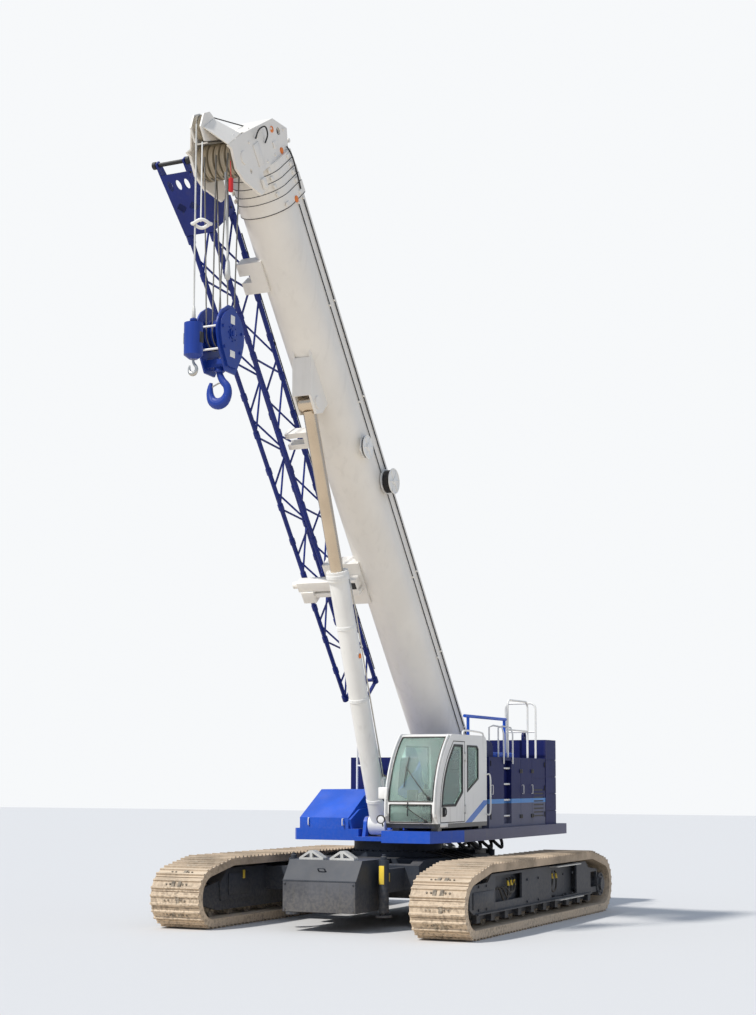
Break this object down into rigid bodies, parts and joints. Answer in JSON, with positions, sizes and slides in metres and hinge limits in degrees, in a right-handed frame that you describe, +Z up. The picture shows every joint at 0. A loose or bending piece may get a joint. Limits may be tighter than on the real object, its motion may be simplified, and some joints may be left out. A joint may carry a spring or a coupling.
{
  "type": "crawler crane",
  "caption": "Crawler crane on two shoe tracks, with a slewing upper, glazed cab, five-section telescopic boom, lift cylinder, side-stowed lattice jib and two hooks",
  "frame": {"origin": "on the ground under the slewing axis", "axes": "+X forward over the front idlers, +Y to the operator's left, +Z up"},
  "size_m": [12.0024, 5.73, 12.6115],
  "materials": {
    "frame_dark": "dusty dark grey paint",
    "weight_dark": "dark slate paint",
    "track_steel": "steel shoes caked with pale dust",
    "paint_blue": "gloss blue paint",
    "paint_navy": "gloss navy paint",
    "paint_white": "gloss white paint",
    "paint_cream": "gloss cream white paint",
    "rail_white": "white paint on tube",
    "iron": "cast",
    "seat_black": "black cloth",
    "tinted_glass": "green tint",
    "rod_chrome": "chromed rod",
    "sheave_nylon": "nylon sheave",
    "wire_rope": "greased wire rope",
    "step_grey": "dull grip plate",
    "hook_steel": "worn steel"
  },
  "bodies": {
    "root": {"carbody": "frame_dark", "slew_ring": "frame_dark", "weight_front": "weight_dark", "weight_rear": "weight_dark", "frame_left": "frame_dark", "frame_right": "frame_dark", "track_left": "track_steel", "track_right": "track_steel", "sprocket_left": "frame_dark", "sprocket_right": "frame_dark", "idler_left": "frame_dark", "idler_right": "frame_dark", "rollers_left": "frame_dark", "rollers_right": "frame_dark", "steps": "step_grey"},
    "upper": {"deck": "paint_blue", "boom_towers": "paint_blue", "hood_front": "paint_blue", "housing_left": "paint_navy", "housing_right": "paint_navy", "engine": "iron", "winches": "paint_blue", "counterweight": "paint_navy", "rails": "rail_white", "cab_shell": "paint_white", "cab_glass": "tinted_glass", "seat": "seat_black"},
    "door": {"cab_door": "paint_white", "door_glass": "tinted_glass"},
    "boom": {"boom_base": "paint_cream", "boom_lug": "paint_cream", "jib_brackets": "paint_cream", "reels": "paint_white", "jib_lattice": "paint_blue", "jib_head": "paint_blue"},
    "tele_2": {"section_2": "paint_cream"},
    "tele_3": {"section_3": "paint_cream"},
    "tele_4": {"section_4": "paint_cream"},
    "tele_5": {"section_5": "paint_cream", "boom_head": "paint_cream", "head_sheaves": "sheave_nylon"},
    "main_hook": {"hook_ropes": "wire_rope", "hook_block": "paint_blue", "hook": "paint_blue"},
    "small_hook": {"ball_weight": "paint_blue", "ball_hook": "hook_steel"},
    "rod": {"lift_rod": "rod_chrome"},
    "barrel": {"lift_barrel": "paint_white"}
  },
  "joints": [
    {"name": "slew", "type": "hinge", "parent": "root", "child": "upper", "pos_m": [0, 0, 1.4], "axis": [0, 0, 1], "continuous": true},
    {"name": "door_swing", "type": "hinge", "parent": "upper", "child": "door", "pos_m": [0.494, 1.506, 2.4], "axis": [0, 0, 1], "range_deg": [0, 90]},
    {"name": "luff", "type": "hinge", "parent": "upper", "child": "boom", "pos_m": [-2.3, 0, 2.6], "axis": [0, -1, 0], "range_deg": [-50.6, 29.4]},
    {"name": "telescope", "type": "slide", "parent": "boom", "child": "tele_2", "axis": [0.6347, 0, 0.7727], "range_m": [0, 6.8]},
    {"name": "telescope_3", "type": "slide", "parent": "tele_2", "child": "tele_3", "axis": [0.6347, 0, 0.7727], "range_m": [0, 6.8]},
    {"name": "telescope_4", "type": "slide", "parent": "tele_3", "child": "tele_4", "axis": [0.6347, 0, 0.7727], "range_m": [0, 6.8]},
    {"name": "telescope_5", "type": "slide", "parent": "tele_4", "child": "tele_5", "axis": [0.6347, 0, 0.7727], "range_m": [0, 6.8]},
    {"name": "hook_hang", "type": "hinge", "parent": "tele_5", "child": "main_hook", "pos_m": [6.4388, 0, 11.6633], "axis": [0, -1, 0], "range_deg": [-29.5, 50.7]},
    {"name": "small_hook_hang", "type": "hinge", "parent": "tele_5", "child": "small_hook", "pos_m": [7.0051, 0, 11.9746], "axis": [0, -1, 0], "range_deg": [-29.5, 50.7]},
    {"name": "lift_eye", "type": "hinge", "parent": "boom", "child": "rod", "pos_m": [3.5873, 0, 8.5699], "axis": [0, -1, 0], "range_deg": [-15.4, 9]},
    {"name": "lift_stroke", "type": "slide", "parent": "rod", "child": "barrel", "axis": [-0.3808, 0, -0.9247], "range_m": [-2.2, 1.3]}
  ],
  "couplings": [
    {"joint": "telescope_3", "follows": "telescope", "ratio": 1},
    {"joint": "telescope_4", "follows": "telescope", "ratio": 1},
    {"joint": "telescope_5", "follows": "telescope", "ratio": 1},
    {"joint": "hook_hang", "follows": "luff", "ratio": -1},
    {"joint": "small_hook_hang", "follows": "luff", "ratio": -1},
    {"joint": "lift_eye", "follows": "luff", "ratio": 0.302},
    {"joint": "lift_stroke", "follows": "luff", "m_per_rad": 2.434}
  ]
}
